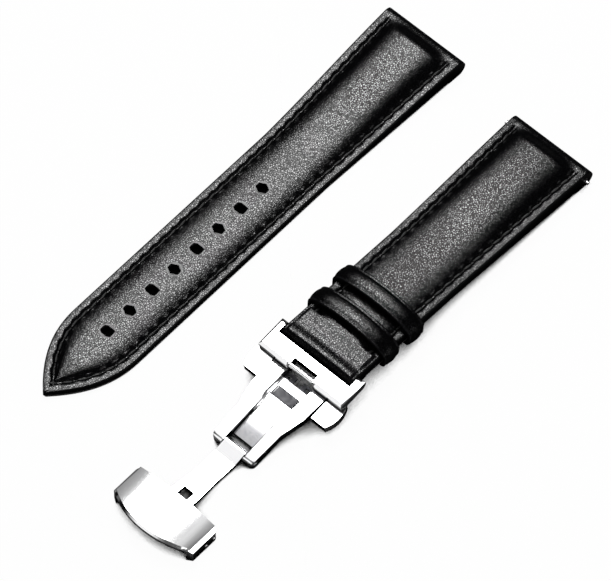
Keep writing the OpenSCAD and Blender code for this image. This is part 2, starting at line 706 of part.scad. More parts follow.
long_top_leather();
long_padding();
long_lining();
long_stitching();
short_top_leather();
short_padding();
short_lining();
short_stitching();
fixed_keeper();
sliding_keeper();
watch_bar_tube();
watch_bar_spring();
watch_bar_tip_left();
watch_bar_tip_right();
lug_bar_tube();
lug_bar_spring();
lug_bar_tip_left();
lug_bar_tip_right();
lug_plate();
catch_bar();
fork_blade();
hinge_pin();
pusher_left();
pusher_right();
pusher_spring_left();
pusher_spring_right();
latch_left();
latch_right();
link_blade();
bridge_cover();
bridge_pin();
strap_bar();
tang();
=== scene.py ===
import math

import bmesh
import bpy
from mathutils import Matrix, Vector


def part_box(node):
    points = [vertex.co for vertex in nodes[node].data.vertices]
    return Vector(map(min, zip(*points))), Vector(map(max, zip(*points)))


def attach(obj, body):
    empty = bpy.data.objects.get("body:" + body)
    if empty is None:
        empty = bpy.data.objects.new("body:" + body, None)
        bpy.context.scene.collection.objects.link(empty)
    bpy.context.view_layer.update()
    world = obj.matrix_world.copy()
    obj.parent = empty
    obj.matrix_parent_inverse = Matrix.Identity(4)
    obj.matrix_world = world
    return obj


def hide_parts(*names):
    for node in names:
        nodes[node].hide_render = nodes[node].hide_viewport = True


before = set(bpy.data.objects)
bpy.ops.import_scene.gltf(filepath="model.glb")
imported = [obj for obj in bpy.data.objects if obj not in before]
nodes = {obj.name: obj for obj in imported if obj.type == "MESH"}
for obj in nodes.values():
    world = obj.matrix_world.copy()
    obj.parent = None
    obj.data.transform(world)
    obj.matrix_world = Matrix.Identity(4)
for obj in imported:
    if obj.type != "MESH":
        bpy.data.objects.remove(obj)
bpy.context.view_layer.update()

print("frame loaded:", len(nodes), "nodes")

perMetre = 1000     # shapes are worked out in mm and placed in metres
white = (1, 1, 1, 1)


def newObject(name, bm, materials, smooth=False):
    mesh = bpy.data.meshes.new(name)
    if smooth:
        for face in bm.faces:
            face.smooth = True
    bm.to_mesh(mesh)
    bm.free()
    for material in materials:
        mesh.materials.append(material)
    obj = bpy.data.objects.new(name, mesh)
    bpy.context.scene.collection.objects.link(obj)
    return obj


def feed(tree, socket, value):
    # a socket takes another node's output or a plain value
    if hasattr(value, "links"):
        tree.links.new(value, socket)
    else:
        socket.default_value = value


def maths(tree, operation, first, second=None, third=None):
    node = tree.nodes.new("ShaderNodeMath")
    node.operation = operation
    for slot, value in enumerate((first, second, third)):
        if value is not None:
            feed(tree, node.inputs[slot], value)
    return node.outputs["Value"]


def spread(tree, value, low, high, toLow=0.0, toHigh=1.0):
    # a smooth step, from toLow where the value is low to toHigh where it is high
    node = tree.nodes.new("ShaderNodeMapRange")
    node.interpolation_type = "SMOOTHSTEP"
    tree.links.new(value, node.inputs["Value"])
    limits = {"From Min": low, "From Max": high, "To Min": toLow, "To Max": toHigh}
    for label, number in limits.items():
        node.inputs[label].default_value = number
    return node.outputs["Result"]


# places of a Mix node's sockets
mixSockets = {"factor": 0, "values": (2, 3), "colours": (6, 7), "value": 0, "colour": 2}


def blendColor(tree, factor, first, second):
    node = tree.nodes.new("ShaderNodeMix")
    node.data_type = "RGBA"
    feed(tree, node.inputs[mixSockets["factor"]], factor)
    for slot, colour in zip(mixSockets["colours"], (first, second)):
        feed(tree, node.inputs[slot], colour if hasattr(colour, "links") else (*colour, 1))
    return node.outputs[mixSockets["colour"]]


def blendValue(tree, factor, first, second):
    node = tree.nodes.new("ShaderNodeMix")
    feed(tree, node.inputs[mixSockets["factor"]], factor)
    for slot, value in zip(mixSockets["values"], (first, second)):
        feed(tree, node.inputs[slot], value)
    return node.outputs[mixSockets["value"]]


occlusionSamples = 8


def occlusion(tree, reach, low, high):
    # 0 in deep corners, 1 in the open
    node = tree.nodes.new("ShaderNodeAmbientOcclusion")
    node.samples = occlusionSamples
    node.inputs["Distance"].default_value = reach
    return spread(tree, node.outputs["AO"], low, high)


def millimetres(tree, stretch=(1, 1, 1), turn=(0, 0, 0)):
    coordinates = tree.nodes.new("ShaderNodeTexCoord")
    mapping = tree.nodes.new("ShaderNodeMapping")
    mapping.inputs["Scale"].default_value = [perMetre * s for s in stretch]
    mapping.inputs["Rotation"].default_value = turn
    tree.links.new(coordinates.outputs["Object"], mapping.inputs["Vector"])
    return mapping.outputs["Vector"]


def noise(tree, vector, scale, detail, rough, distort=0.0):
    node = tree.nodes.new("ShaderNodeTexNoise")
    tree.links.new(vector, node.inputs["Vector"])
    feed(tree, node.inputs["Scale"], scale)
    for label, value in (("Detail", detail), ("Roughness", rough), ("Distortion", distort)):
        node.inputs[label].default_value = value
    return node.outputs["Fac"]


cameraView = {
    "target": (0.00136, -0.00288, 0.0),
    "place": (-0.5016, -0.4610, 1.1078),
    "lens": 356.1, "sensor": 36, "nearest": 0.01,
}


def makeCamera(view):
    data = bpy.data.cameras.new("photoCamera")
    data.lens = view["lens"]
    data.sensor_width = view["sensor"]
    data.sensor_fit = "HORIZONTAL"
    data.clip_start = view["nearest"]
    camera = bpy.data.objects.new("photoCamera", data)
    bpy.context.scene.collection.objects.link(camera)
    camera.location = view["place"]
    look = Vector(view["target"]) - Vector(view["place"])
    camera.rotation_euler = look.to_track_quat("-Z", "Y").to_euler()
    bpy.context.scene.camera = camera


softboxes = {
    # direction from the object, distance, size, power
    "overhead": {"toward": (0.34, 0.34, 0.87), "away": 0.72, "size": 0.34, "power": 4.0},
    "front": {"toward": (-0.55, -0.55, 0.62), "away": 0.9, "size": 0.5, "power": 1.0},
    "side": {"toward": (0.25, -0.9, 0.35), "away": 0.8, "size": 0.3, "power": 0.8},
}


def makeSoftbox(name, box):
    data = bpy.data.lights.new(name, "AREA")
    data.shape = "SQUARE"
    data.size = box["size"]
    data.energy = box["power"]
    lamp = bpy.data.objects.new(name, data)
    bpy.context.scene.collection.objects.link(lamp)
    toward = Vector(box["toward"]).normalized()
    lamp.location = toward * box["away"]
    lamp.rotation_euler = (-toward).to_track_quat("-Z", "Y").to_euler()


studio = {
    # what metal sees of the studio, by the x and the y of the direction that it mirrors
    "alongX": [(-1, 1), (-0.72, 1), (-0.62, 0.05), (-0.44, 0.05), (-0.3, 1), (0.08, 1),
               (0.11, 0.35), (0.14, 1), (0.45, 1), (0.56, 0.42), (0.68, 0.07), (1, 0.02)],
    "acrossY": [(-1, 0.95), (-0.78, 0.95), (-0.68, 0.1), (-0.2, 0.1), (-0.06, 0.35), (0.0, 0.85),
                (0.03, 0.62), (0.07, 0.95), (0.14, 1), (0.5, 1), (0.66, 0.45), (0.8, 0.03),
                (1, 0.01)],
    "fill": 0.25,
    "shadowShare": 0.03,    # how much of the floor the camera sees takes light and shadow
    "floorGrey": 0.78,
    "floorHalf": 3,
    "floorDrop": 0.00002,
    # openness of the floor, for its painted shade in gaps and the painted shadow that steel sees
    # close by: reach in metres, and where it is taken as shut and as open
    "hole": (0.011, 0.4, 0.46),
    # painted shade: the floor's grey where it is shut in
    "paintedGapShade": 0.03,
    # painted shadow in reflections: steel sees a dim floor, darker close to the object
    "mirrored": (0.02, 0.7, 1.0),
    "mirroredFloorShade": 0.12,
}


def studioRamp(tree, value, stops):
    # stops go from -1 to 1, a ramp's positions from 0 to 1
    node = tree.nodes.new("ShaderNodeValToRGB")
    ramp = node.color_ramp
    ready = len(ramp.elements)
    for index, (at, light) in enumerate(stops):
        if index < ready:
            stop = ramp.elements[index]
            stop.position = (at + 1) / 2
        else:
            stop = ramp.elements.new((at + 1) / 2)
        stop.color = (light, light, light, 1)
    tree.links.new(maths(tree, "MULTIPLY_ADD", value, 0.5, 0.5), node.inputs["Fac"])
    return node.outputs["Color"]


def makeWorld(values):
    world = bpy.data.worlds.new("studioWorld")
    bpy.context.scene.world = world
    world.use_nodes = True
    tree = world.node_tree
    tree.nodes.clear()
    add = tree.nodes.new
    coordinates = add("ShaderNodeTexCoord")
    apart = add("ShaderNodeSeparateXYZ")
    path = add("ShaderNodeLightPath")
    seen = add("ShaderNodeBackground")
    seen.inputs["Color"].default_value = white
    seen.inputs["Strength"].default_value = 1
    mirrored = add("ShaderNodeBackground")
    fill = add("ShaderNodeBackground")
    fill.inputs["Color"].default_value = white
    fill.inputs["Strength"].default_value = values["fill"]
    inner = add("ShaderNodeMixShader")
    outer = add("ShaderNodeMixShader")
    out = add("ShaderNodeOutputWorld")
    link = tree.links.new
    link(coordinates.outputs["Generated"], apart.inputs["Vector"])
    alongX = studioRamp(tree, apart.outputs["X"], values["alongX"])
    acrossY = studioRamp(tree, apart.outputs["Y"], values["acrossY"])
    link(maths(tree, "MULTIPLY", alongX, acrossY), mirrored.inputs["Color"])
    glossy, through = path.outputs["Is Glossy Ray"], path.outputs["Is Transmission Ray"]
    link(maths(tree, "MAXIMUM", glossy, through), inner.inputs["Fac"])
    link(fill.outputs["Background"], inner.inputs[1])
    link(mirrored.outputs["Background"], inner.inputs[2])
    link(path.outputs["Is Camera Ray"], outer.inputs["Fac"])
    link(inner.outputs["Shader"], outer.inputs[1])
    link(seen.outputs["Background"], outer.inputs[2])
    link(outer.outputs["Shader"], out.inputs["Surface"])


def makeFloor(values):
    # the camera sees a near white sheet, with painted shade in narrow gaps; steel sees a dim floor
    # with a painted shadow close by
    material = bpy.data.materials.new("paleFloor")
    material.use_nodes = True
    tree = material.node_tree
    tree.nodes.clear()
    add = tree.nodes.new
    diffuse = add("ShaderNodeBsdfDiffuse")
    glow = add("ShaderNodeEmission")
    glow.inputs["Color"].default_value = white
    glow.inputs["Strength"].default_value = 1
    mirrored = add("ShaderNodeEmission")
    mirrored.inputs["Strength"].default_value = values["mirroredFloorShade"]
    path = add("ShaderNodeLightPath")
    plain = add("ShaderNodeMixShader")
    mix = add("ShaderNodeMixShader")
    out = add("ShaderNodeOutputMaterial")
    link = tree.links.new
    # painted shade: the floor's colour and glow go dark where it is shut in
    openFloor = occlusion(tree, *values["hole"])
    shades = [(values[key],) * 3 for key in ("paintedGapShade", "floorGrey")]
    link(blendColor(tree, openFloor, *shades), diffuse.inputs["Color"])
    share = maths(tree, "MULTIPLY", path.outputs["Is Camera Ray"], 1 - values["shadowShare"])
    link(maths(tree, "MULTIPLY", share, openFloor), plain.inputs["Fac"])
    link(diffuse.outputs["BSDF"], plain.inputs[1])
    link(glow.outputs["Emission"], plain.inputs[2])
    # painted shadow: the floor as steel sees it is dim and darker close to the object
    link(occlusion(tree, *values["mirrored"]), mirrored.inputs["Color"])
    link(path.outputs["Is Glossy Ray"], mix.inputs["Fac"])
    link(plain.outputs["Shader"], mix.inputs[1])
    link(mirrored.outputs["Emission"], mix.inputs[2])
    link(mix.outputs["Shader"], out.inputs["Surface"])
    bm = bmesh.new()
    bmesh.ops.create_grid(bm, x_segments=1, y_segments=1, size=values["floorHalf"])
    floor = newObject("studioFloor", bm, [material])
    floor.location.z = -values["floorDrop"]


makeCamera(cameraView)
for boxName, boxValues in softboxes.items():
    makeSoftbox(boxName, boxValues)
makeWorld(studio)
makeFloor(studio)
bpy.context.scene.view_settings.view_transform = "Standard"
print("camera, lights and floor made")


def newGroup(name, inputs, outputs):
    # a shader group of number sockets: names and defaults in, names out
    group = bpy.data.node_groups.new(name, "ShaderNodeTree")
    for label, value in inputs.items():
        group.interface.new_socket(
            label, in_out="INPUT", socket_type="NodeSocketFloat").default_value = value
    for label in outputs:
        group.interface.new_socket(label, in_out="OUTPUT", socket_type="NodeSocketFloat")
    return group


grainShape = {
    # detail, roughness and distortion of the worms, and the noise from which they rise
    "worms": (1.2, 0.45, 1.1), "wormSpan": (0.36, 0.62), "wormShare": 0.3,
    "creaseWide": 0.34, "creaseShare": 0.7,
    # the cells are bent by a slow noise
    "bendScale": 1.4, "bendDetail": 2, "bend": 0.5,
    "cloud": (0.09, 3, 0.6),
}


def makeLeatherGrain(values):
    # pebbles and short wormy creases, heights from 0 to 1
    tree = newGroup("leatherGrain", {"Grains Per mm": 2.0}, ("Height", "Crease", "Cloud"))
    taken = tree.nodes.new("NodeGroupInput")
    given = tree.nodes.new("NodeGroupOutput")
    scale = taken.outputs["Grains Per mm"]
    points = millimetres(tree)
    worms = noise(tree, points, scale, *values["worms"])
    cells = tree.nodes.new("ShaderNodeTexVoronoi")
    cells.feature = "DISTANCE_TO_EDGE"
    push = tree.nodes.new("ShaderNodeTexNoise")
    push.inputs["Scale"].default_value = values["bendScale"]
    push.inputs["Detail"].default_value = values["bendDetail"]
    tree.links.new(points, push.inputs["Vector"])
    bent = tree.nodes.new("ShaderNodeVectorMath")
    bent.operation = "MULTIPLY_ADD"
    bent.inputs[1].default_value = (values["bend"],) * 3
    tree.links.new(push.outputs["Color"], bent.inputs[0])
    tree.links.new(points, bent.inputs[2])
    tree.links.new(bent.outputs["Vector"], cells.inputs["Vector"])
    tree.links.new(scale, cells.inputs["Scale"])
    crease = spread(tree, cells.outputs["Distance"], 0.0, values["creaseWide"])
    ridge = spread(tree, worms, *values["wormSpan"])
    pebbles = maths(tree, "MULTIPLY", crease, values["creaseShare"])
    height = maths(tree, "ADD", pebbles, maths(tree, "MULTIPLY", ridge, values["wormShare"]))
    tree.links.new(height, given.inputs["Height"])
    tree.links.new(crease, given.inputs["Crease"])
    tree.links.new(noise(tree, points, *values["cloud"]), given.inputs["Cloud"])
    return tree


handlingShape = {
    "smear": (3, 0.6, 0.6), "smearSpan": (0.35, 0.7),
    "lineStretch": (0.35, 14, 14), "lineTurn": (0, 0, 0.5), "line": (1.0, 2, 0.6),
    "lineSpan": (0.58, 0.72),
}


def makeHandling(values):
    # smears and fine hairlines on polished metal
    tree = newGroup("handlingMarks", {"Smears Per mm": 0.25}, ("Smear", "Hairline"))
    given = tree.nodes.new("NodeGroupOutput")
    taken = tree.nodes.new("NodeGroupInput")
    smear = noise(tree, millimetres(tree), taken.outputs["Smears Per mm"], *values["smear"])
    stretched = millimetres(tree, values["lineStretch"], values["lineTurn"])
    lines = noise(tree, stretched, *values["line"])
    tree.links.new(spread(tree, smear, *values["smearSpan"]), given.inputs["Smear"])
    tree.links.new(spread(tree, lines, *values["lineSpan"]), given.inputs["Hairline"])
    return tree


wearAndHighlightShape = {"noise": (3, 0.65), "span": (0.35, 0.65)}


def makeEdgeWearAndHighlight(values):
    # a broken mask along convex edges, from the piece's own edge attribute: wear, and a painted
    # highlight on the lit ridge
    tree = newGroup("edgeWearAndHighlight", {"Width": 0.5, "Breakup": 1.5}, ("Mask",))
    given = tree.nodes.new("NodeGroupOutput")
    taken = tree.nodes.new("NodeGroupInput")
    edge = tree.nodes.new("ShaderNodeAttribute")
    edge.attribute_name = "edge"
    broken = noise(tree, millimetres(tree), taken.outputs["Breakup"], *values["noise"])
    patches = spread(tree, broken, *values["span"])
    spot = maths(tree, "MULTIPLY", edge.outputs["Fac"], patches)
    tree.links.new(maths(tree, "MULTIPLY", spot, taken.outputs["Width"]), given.inputs["Mask"])
    return tree


leatherGrain = makeLeatherGrain(grainShape)
handlingMarks = makeHandling(handlingShape)
edgeWearAndHighlight = makeEdgeWearAndHighlight(wearAndHighlightShape)


def startMaterial(name, **sockets):
    # a socket's label is given with _ for each space, here and in place
    material = bpy.data.materials.new(name)
    material.use_nodes = True
    tree = material.node_tree
    shader = tree.nodes["Principled BSDF"]
    for label, value in sockets.items():
        shader.inputs[label.replace("_", " ")].default_value = value
    return material, tree, shader


def place(tree, group, **values):
    node = tree.nodes.new("ShaderNodeGroup")
    node.node_tree = group
    for label, value in values.items():
        node.inputs[label.replace("_", " ")].default_value = value
    return node


def addBump(tree, shader, height, depth, strength=1.0):
    bump = tree.nodes.new("ShaderNodeBump")
    bump.inputs["Distance"].default_value = depth
    bump.inputs["Strength"].default_value = strength
    tree.links.new(height, bump.inputs["Height"])
    tree.links.new(bump.outputs["Normal"], shader.inputs["Normal"])


leatherLook = {
    "black": (0.0022, 0.0022, 0.0025),
    # a darker black in the grain's creases, partly the grain's tone and partly painted shade; also
    # the colour of painted edges and hole rings
    "crease": (0.001, 0.001, 0.0012),
    "wornAndLit": (0.012, 0.012, 0.013),
    "wearAndHighlight": {"Width": 0.8, "Breakup": 1.2},
    "grains": 2.3,
    "depth": 0.00002,
    "smoothGrain": 0.2,     # share of the grain's height that painted edges keep
    "rough": 0.22, "matt": 0.26, "cloudSpan": (0.3, 0.7),
    "shineLow": 0.14, "shineHigh": 1.0, "shineSpan": (0.25, 0.9), "plainShare": 0.4,
    "sideShineShare": 0.12, "turnSpan": (0.92, 0.985),     # painted sheen: share of its shine kept where it turns down, so that tops shine and sides go dark
}
rimLook = {
    # how far a hole's lip and ring reach, in mm, and how deep the lip is pressed, in grain heights
    "lip": 0.55, "ring": (0.45, 0.75), "pressed": -2.2,
}


def makeHoleRims(first, pitch, count, row, radius):
    # the burnished ring round each hole of the row: 1 on the lip, 0 beyond it
    tree = newGroup("holeRims", {}, ("Lip", "Ring"))
    given = tree.nodes.new("NodeGroupOutput")
    apart = tree.nodes.new("ShaderNodeSeparateXYZ")
    tree.links.new(millimetres(tree), apart.inputs["Vector"])
    along = maths(tree, "SUBTRACT", first * perMetre, apart.outputs["X"])
    index = maths(tree, "ROUND", maths(tree, "DIVIDE", along, pitch))
    index = maths(tree, "MINIMUM", maths(tree, "MAXIMUM", index, 0.0), count - 1.0)
    dx = maths(tree, "SUBTRACT", along, maths(tree, "MULTIPLY", index, pitch))
    dy = maths(tree, "SUBTRACT", apart.outputs["Y"], row * perMetre)
    square = [maths(tree, "MULTIPLY", d, d) for d in (dx, dy)]
    away = maths(tree, "SQRT", maths(tree, "ADD", *square))
    lip = spread(tree, away, radius, radius + rimLook["lip"], 1.0, 0.0)
    tree.links.new(lip, given.inputs["Lip"])
    ring = spread(tree, away, *(radius + reach for reach in rimLook["ring"]), 1.0, 0.0)
    tree.links.new(ring, given.inputs["Ring"])
    return tree


def makeLeather(name, look, rims=None):
    material, tree, shader = startMaterial(name)
    grain = place(tree, leatherGrain, Grains_Per_mm=look["grains"])
    paint = tree.nodes.new("ShaderNodeAttribute")
    paint.attribute_name = "paint"
    wearAndHighlight = place(tree, edgeWearAndHighlight, **look["wearAndHighlight"])
    smoothed = paint.outputs["Fac"]
    sunken = 0.0
    if rims:
        ring = place(tree, rims)
        smoothed = maths(tree, "MAXIMUM", smoothed, ring.outputs["Ring"])
        sunken = maths(tree, "MULTIPLY", ring.outputs["Lip"], rimLook["pressed"])
    # partly grain tone, partly painted shade: creases darker, grain tops lighter
    base = blendColor(tree, grain.outputs["Crease"], look["crease"], look["black"])
    # wear and painted highlight: lighter along the rim's ridge and the keepers' edges
    base = blendColor(tree, wearAndHighlight.outputs["Mask"], base, look["wornAndLit"])
    base = blendColor(tree, smoothed, base, look["crease"])
    tree.links.new(base, shader.inputs["Base Color"])
    rough = spread(tree, grain.outputs["Cloud"], *look["cloudSpan"], look["rough"], look["matt"])
    tree.links.new(blendValue(tree, smoothed, rough, look["matt"]), shader.inputs["Roughness"])
    low, high = look["shineLow"], look["shineHigh"]
    shine = spread(tree, grain.outputs["Height"], *look["shineSpan"], low, high)
    facing = tree.nodes.new("ShaderNodeNewGeometry")
    upright = tree.nodes.new("ShaderNodeSeparateXYZ")
    tree.links.new(facing.outputs["Normal"], upright.inputs["Vector"])
    # painted sheen: shine is cut where the surface turns away from facing up
    topSheen = spread(tree, upright.outputs["Z"], *look["turnSpan"], look["sideShineShare"], 1.0)
    shine = blendValue(tree, smoothed, shine, (low + high) * look["plainShare"])
    tree.links.new(maths(tree, "MULTIPLY", topSheen, shine), shader.inputs["Specular IOR Level"])
    kept = spread(tree, smoothed, 0.0, 1.0, 1.0, look["smoothGrain"])
    grainHeight = maths(tree, "MULTIPLY", grain.outputs["Height"], kept)
    addBump(tree, shader, maths(tree, "ADD", grainHeight, sunken), look["depth"])
    return material


threadLook = {
    "shine": 0.5, "rough": 0.42, "twists": 1.6, "unevenness": 0.6, "depth": 0.00004,
    "dark": (0.002, 0.002, 0.002), "light": (0.012, 0.012, 0.012),
}


def makeThread(look):
    material, tree, shader = startMaterial("waxedThread", Specular_IOR_Level=look["shine"],
                                           Roughness=look["rough"])
    points = millimetres(tree)
    twist = tree.nodes.new("ShaderNodeTexWave")
    twist.inputs["Scale"].default_value = look["twists"]
    twist.inputs["Distortion"].default_value = look["unevenness"]
    twist.bands_direction = "DIAGONAL"
    tree.links.new(points, twist.inputs["Vector"])
    base = blendColor(tree, twist.outputs["Fac"], look["dark"], look["light"])
    tree.links.new(base, shader.inputs["Base Color"])
    addBump(tree, shader, twist.outputs["Fac"], look["depth"])
    return material


liningLook = {
    "shine": 0.4, "grains": 3.2, "rough": (0.62, 0.5), "depth": 0.00003,
    "dark": (0.012, 0.011, 0.011), "light": (0.026, 0.025, 0.024),
}


def makeLining(look):
    material, tree, shader = startMaterial("liningLeather", Specular_IOR_Level=look["shine"])
    grain = place(tree, leatherGrain, Grains_Per_mm=look["grains"])
    base = blendColor(tree, grain.outputs["Cloud"], look["dark"], look["light"])
    tree.links.new(base, shader.inputs["Base Color"])
    rough = spread(tree, grain.outputs["Crease"], 0, 1, *look["rough"])
    tree.links.new(rough, shader.inputs["Roughness"])
    addBump(tree, shader, grain.outputs["Height"], look["depth"])
    return material


steelLook = {
    "polished": {"colour": (0.93, 0.93, 0.935), "smear": (0.90, 0.90, 0.91),
                 "rough": 0.09, "smeared": 0.1},
    "satin": {"colour": (0.78, 0.78, 0.79), "smear": (0.72, 0.72, 0.73),
              "rough": 0.2, "smeared": 0.28},
    "recess": {"colour": (0.012, 0.012, 0.013), "smear": (0.05, 0.05, 0.052),
               "rough": 0.3, "smeared": 0.4},
    # latch plates painted near black, as painted shade under the catch bar
    "burnished": {"colour": (0.05, 0.05, 0.055), "smear": (0.03, 0.03, 0.033),
                  "rough": 0.35, "smeared": 0.45},
    "wire": {"colour": (0.5, 0.5, 0.51), "smear": (0.42, 0.42, 0.44),
             "rough": 0.3, "smeared": 0.42},
}
steelMarks = {
    "smears": 0.3, "lineRough": 0.05, "lineDepth": 0.000002, "lineStrength": 0.1,
    # painted shade in corners: reach in metres, and where corners are taken as shut and as open
    "fineCornerShade": (0.0009, 0.5, 0.82), "deepCornerShade": (0.003, 0.34, 0.56),
    "paintedCornerShade": (0.02, 0.02, 0.022),
}


def makeSteel(name, look):
    material, tree, shader = startMaterial(name, Metallic=1.0)
    marks = place(tree, handlingMarks, Smears_Per_mm=steelMarks["smears"])
    base = blendColor(tree, marks.outputs["Smear"], look["colour"], look["smear"])
    # painted shade: the colour goes dark in corners and gaps
    corners = [occlusion(tree, *steelMarks[key]) for key in ("fineCornerShade", "deepCornerShade")]
    corner = maths(tree, "MULTIPLY", *corners)
    base = blendColor(tree, corner, steelMarks["paintedCornerShade"], base)
    tree.links.new(base, shader.inputs["Base Color"])
    rough = spread(tree, marks.outputs["Smear"], 0, 1, look["rough"], look["smeared"])
    lines = maths(tree, "MULTIPLY", marks.outputs["Hairline"], steelMarks["lineRough"])
    tree.links.new(maths(tree, "ADD", rough, lines), shader.inputs["Roughness"])
    addBump(tree, shader, marks.outputs["Hairline"], steelMarks["lineDepth"],
            steelMarks["lineStrength"])
    return material


brushedShadedLook = {
    # where along x the tongue's brushing and its painted shade start, and how far they fade in, in
    # mm
    "from": -30.4, "fade": 2.4,
    "stretch": (0.25, 12, 12), "strokes": (1.0, 3, 0.65), "span": (0.3, 0.7),
    "dark": (0.26, 0.26, 0.27), "light": (0.42, 0.42, 0.43), "rough": 0.32, "depth": 0.000008,
}


def makeBrushedShaded(look):
    # strokes run along the blade; the grey is partly brushing and partly painted shade on the bent
    # lower tongue
    material, tree, shader = startMaterial("brushedShadedSteel", Metallic=1.0, Roughness=look["rough"])
    strokes = noise(tree, millimetres(tree, look["stretch"]), *look["strokes"])
    base = blendColor(tree, spread(tree, strokes, *look["span"]), look["dark"], look["light"])
    apart = tree.nodes.new("ShaderNodeSeparateXYZ")
    tree.links.new(millimetres(tree), apart.inputs["Vector"])
    # painted shade: polished steel fades to the darker grey past the kink
    faded = spread(tree, apart.outputs["X"], look["from"] - look["fade"], look["from"])
    base = blendColor(tree, faded, base, steelLook["polished"]["colour"])
    # painted shade: the colour goes dark in corners
    corner = occlusion(tree, *steelMarks["fineCornerShade"])
    base = blendColor(tree, corner, steelMarks["paintedCornerShade"], base)
    tree.links.new(base, shader.inputs["Base Color"])
    addBump(tree, shader, strokes, look["depth"])
    return material


waxedThread = makeThread(threadLook)
liningLeather = makeLining(liningLook)
polishedSteel = makeSteel("polishedSteel", steelLook["polished"])
satinSteel = makeSteel("satinSteel", steelLook["satin"])
brushedShadedSteel = makeBrushedShaded(brushedShadedLook)
# near black steel for the bare recess and for the painted shadow line on the near arm's inner edge
recessAndShadowSteel = makeSteel("recessAndShadowSteel", steelLook["recess"])
burnishedSteel = makeSteel("burnishedSteel", steelLook["burnished"])
springWire = makeSteel("springWire", steelLook["wire"])
print("finishes made")


# lengths in mm and angles in degrees, from here on
strapShape = {
    "edgeWatch": 4.2, "taper": 43.0, "rim": 3.1, "edgeRound": 0.4, "step": 0.4, "turnStep": 9,
    "mergeWithin": 0.0005,
    # the crown fades in from the watch end and sinks under the flap
    "crownWatch": 1.5, "crownFar": 0.7, "crownFull": 8, "crownFrom": 1.8, "crownRun": 3.6,
    "crownPower": 3, "crownNarrow": 4.0, "flapCrown": 0.25,
    # a ridge and a pressed channel follow the seam, drawn in at each stitch
    "seam": 2.3, "seamAhead": 0.3, "seamLeast": 0.5, "seamFade": 2.2, "seamFlap": 0.8,
    "stitchPitch": 3.1, "stitchLength": 2.3, "thread": 0.25,
    "ridge": 0.05, "ridgeAt": 1.0, "ridgeWide": 0.5,
    "trough": 0.45, "troughAt": 2.3, "troughWide": 0.42, "pull": 0.12,
    # the flap's edges and the ends of the lining
    "flapStep": 0.25, "flapSoft": 0.1, "lining": 0.7, "liningIn": 5.0, "liningRun": 0.4,
    # paint on the outer edge, and wear with a painted highlight on the ridge
    "paintFrom": 0.1, "paintRun": 0.3, "wearAndHighlightAt": 1.1, "wearAndHighlightWide": 0.3,
    "pointPower": 2.2, "slopeSpan": 0.1, "roundShare": 0.9, "squeezeRoom": 0.4,
}
longStrap = {
    "name": "long", "length": 123.0, "watchWidth": 22.0, "farWidth": 18.8, "farEdge": 2.0,
    "point": 20.0, "tipRows": (1.2, 0.8, 0.5, 0.3, 0.15, 0.05, 0.0),
    "firstHole": 54.0, "holePitch": 7.0, "holes": 8, "holeWide": 2.3,
    "tilt": 0.0, "watchEndX": 0.0671065, "seamFrom": 5.6, "seamTo": 119.5,
}
shortStrap = {
    "name": "short", "length": 77.6, "watchWidth": 22.0, "farWidth": 20.0, "farEdge": 2.9,
    "point": 0.0, "tilt": 4.1, "drop": -0.14477, "watchEndX": 0.0642065,
    "seamFrom": 5.6, "seamTo": 69.0,
    "flapFrom": 68.85, "flapIn": 1.0, "flapRise": 0.38, "dipAt": 3.7, "dip": 0.3, "dipWide": 2.0,
}


def smoothStep(t):
    t = min(1.0, max(0.0, t))
    return t * t * (3 - 2 * t)


def halfWidth(strap, x):
    t = min(1.0, x / strapShape["taper"])
    body = (strap["watchWidth"] + (strap["farWidth"] - strap["watchWidth"]) * t) / 2
    if strap["point"]:
        toTip = min(1.0, max(0.0, (strap["length"] - x) / strap["point"]))
        body = body * (1 - (1 - toTip) ** strapShape["pointPower"])
    return body


def slopeFactor(strap, x):
    # how much longer a distance across is than the same distance square to the outline
    span = strapShape["slopeSpan"]
    run = (halfWidth(strap, x + span / 2) - halfWidth(strap, x - span / 2)) / span
    return math.sqrt(1 + run * run)


def edgeHeight(strap, x):
    far = strap["farEdge"]
    return far + (strapShape["edgeWatch"] - far) * (1 - smoothStep(x / strapShape["taper"]))


def crownHeight(strap, x):
    shape = strapShape
    gone = smoothStep((x - shape["crownFull"]) / shape["taper"])
    full = shape["crownFar"] + (shape["crownWatch"] - shape["crownFar"]) * (1 - gone)
    if x > strap.get("flapFrom", strap["length"]):
        full *= shape["flapCrown"]
    return full * smoothStep((x - shape["crownFrom"]) / shape["crownRun"])


def flapHeight(strap, x, d):
    # the flap turned over the clasp's bar, with a dip behind the bar
    step = strapShape["flapStep"]
    past = x - strap["flapFrom"]
    if past <= 0:
        return 0.0
    behind = smoothStep(1 - abs(strap["length"] - x - strap["dipAt"]) / strap["dipWide"])
    rise = strap["flapRise"] * smoothStep(past / step) - strap["dip"] * behind
    return rise * smoothStep((d - strap["flapIn"] + strapShape["flapSoft"]) / step)


def bell(d, middle, wide):
    return math.exp(-((d - middle) / wide) ** 2)


